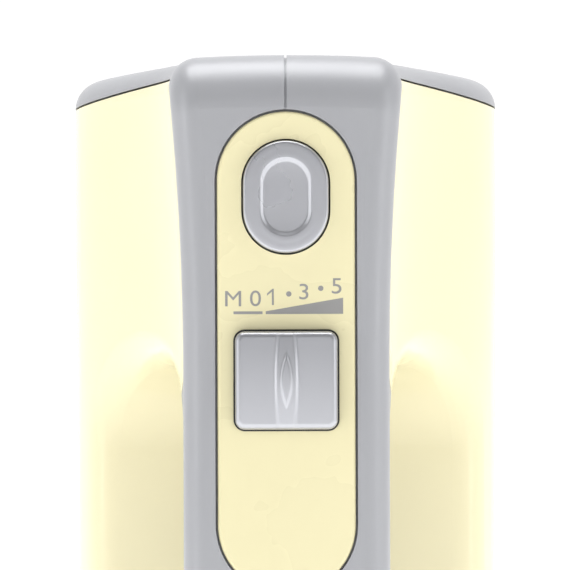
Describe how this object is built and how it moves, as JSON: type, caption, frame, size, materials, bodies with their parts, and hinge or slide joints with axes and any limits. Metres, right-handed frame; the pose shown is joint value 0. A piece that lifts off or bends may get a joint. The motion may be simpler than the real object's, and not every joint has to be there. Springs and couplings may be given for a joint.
{
  "type": "hand mixer",
  "caption": "Electric hand mixer with a closed grip, sideways speed switch, eject button and wire beaters, standing on its heel.",
  "frame": {"origin": "on the heel pad face, in the middle plane, the grip top face 74 mm away along -Y", "axes": "+X to the right side, -Y towards the grip with the controls, +Y the way the beaters leave, +Z from the heel to the nose"},
  "size_m": [0.0851, 0.3033, 0.2],
  "materials": {
    "housing_grey": "satin moulded ABS, light grey",
    "cover_cream": "glossy moulded ABS, pale vanilla",
    "control_silver": "silver-grey pearl lacquer, satin",
    "black_plastic": "black moulded acetal",
    "natural_plastic": "unpigmented acetal",
    "glass_filled_plastic": "glass-filled polyamide, dark grey",
    "black_rubber": "matte",
    "zinc_steel": "zinc plated",
    "ground_steel": "ground",
    "laminated_steel": "stacked laminations",
    "enamelled_copper": "enamelled wire",
    "copper": "turned",
    "bronze": "sintered",
    "brass": "pressed sheet",
    "carbon": "pressed carbon",
    "circuit_board": "glass-epoxy laminate",
    "chromed_steel": "polished"
  },
  "bodies": {
    "housing": {"housing_left": "housing_grey", "housing_right": "housing_grey", "side_cover_left": "cover_cream", "side_cover_right": "cover_cream", "control_panel": "cover_cream", "housing_screws": "zinc_steel", "heel_pad": "black_rubber", "cord_inlet": "black_rubber", "eject_spring": "zinc_steel", "control_board": "circuit_board", "board_components": "circuit_board", "motor_stator": "laminated_steel", "field_coils": "enamelled_copper", "motor_frame": "glass_filled_plastic", "motor_screws": "zinc_steel", "rear_bush": "bronze", "middle_bush": "bronze", "front_bush": "bronze", "brush_plate": "black_plastic", "brush_holders": "brass", "carbon_brushes": "carbon", "brush_springs": "zinc_steel", "gearbox_base": "glass_filled_plastic", "gearbox_cover": "glass_filled_plastic", "gearbox_screws": "zinc_steel", "spindle_bushes": "bronze", "socket_ring_left": "housing_grey", "socket_ring_right": "housing_grey"},
    "ejector": {"eject_button": "control_silver", "ejector_rod": "natural_plastic", "ejector_plate": "natural_plastic"},
    "speed_switch": {"switch_cap": "control_silver", "switch_slider": "black_plastic", "switch_wiper": "copper"},
    "rotor": {"motor_shaft": "ground_steel", "rotor_core": "laminated_steel", "rotor_windings": "enamelled_copper", "commutator": "copper", "cooling_fan": "natural_plastic", "worm": "ground_steel"},
    "spindle_left": {"spindle_left": "ground_steel", "worm_wheel_left": "natural_plastic"},
    "spindle_right": {"spindle_right": "ground_steel", "worm_wheel_right": "natural_plastic"},
    "beater_left": {"beater_shaft_left": "chromed_steel", "beater_collar_left": "black_plastic", "beater_wires_left": "chromed_steel"},
    "beater_right": {"beater_shaft_right": "chromed_steel", "beater_collar_right": "black_plastic", "beater_wires_right": "chromed_steel"}
  },
  "joints": [
    {"name": "eject_press", "type": "slide", "parent": "housing", "child": "ejector", "axis": [0, 1, 0], "range_m": [0, 0.005], "stiffness_N_per_m": 800, "springref_m": -0.004, "deforming": ["eject_spring"]},
    {"name": "speed_slide", "type": "slide", "parent": "housing", "child": "speed_switch", "axis": [1, 0, 0], "range_m": [-0.0028, 0.0057]},
    {"name": "rotor_spin", "type": "hinge", "parent": "housing", "child": "rotor", "pos_m": [0, 0.032, 0.1], "axis": [0, 0, 1], "continuous": true},
    {"name": "spindle_left_spin", "type": "hinge", "parent": "housing", "child": "spindle_left", "pos_m": [-0.02, 0.032, 0.156], "axis": [0, 1, 0], "continuous": true},
    {"name": "spindle_right_spin", "type": "hinge", "parent": "housing", "child": "spindle_right", "pos_m": [0.02, 0.032, 0.156], "axis": [0, 1, 0], "continuous": true},
    {"name": "beater_left_eject", "type": "slide", "parent": "spindle_left", "child": "beater_left", "axis": [0, 1, 0], "range_m": [0, 0.005]},
    {"name": "beater_right_eject", "type": "slide", "parent": "spindle_right", "child": "beater_right", "axis": [0, 1, 0], "range_m": [0, 0.005]}
  ],
  "couplings": [
    {"joint": "spindle_left_spin", "follows": "rotor_spin", "ratio": 0.071429},
    {"joint": "spindle_right_spin", "follows": "rotor_spin", "ratio": -0.071429},
    {"joint": "beater_left_eject", "follows": "eject_press", "ratio": 1},
    {"joint": "beater_right_eject", "follows": "eject_press", "ratio": 1}
  ]
}
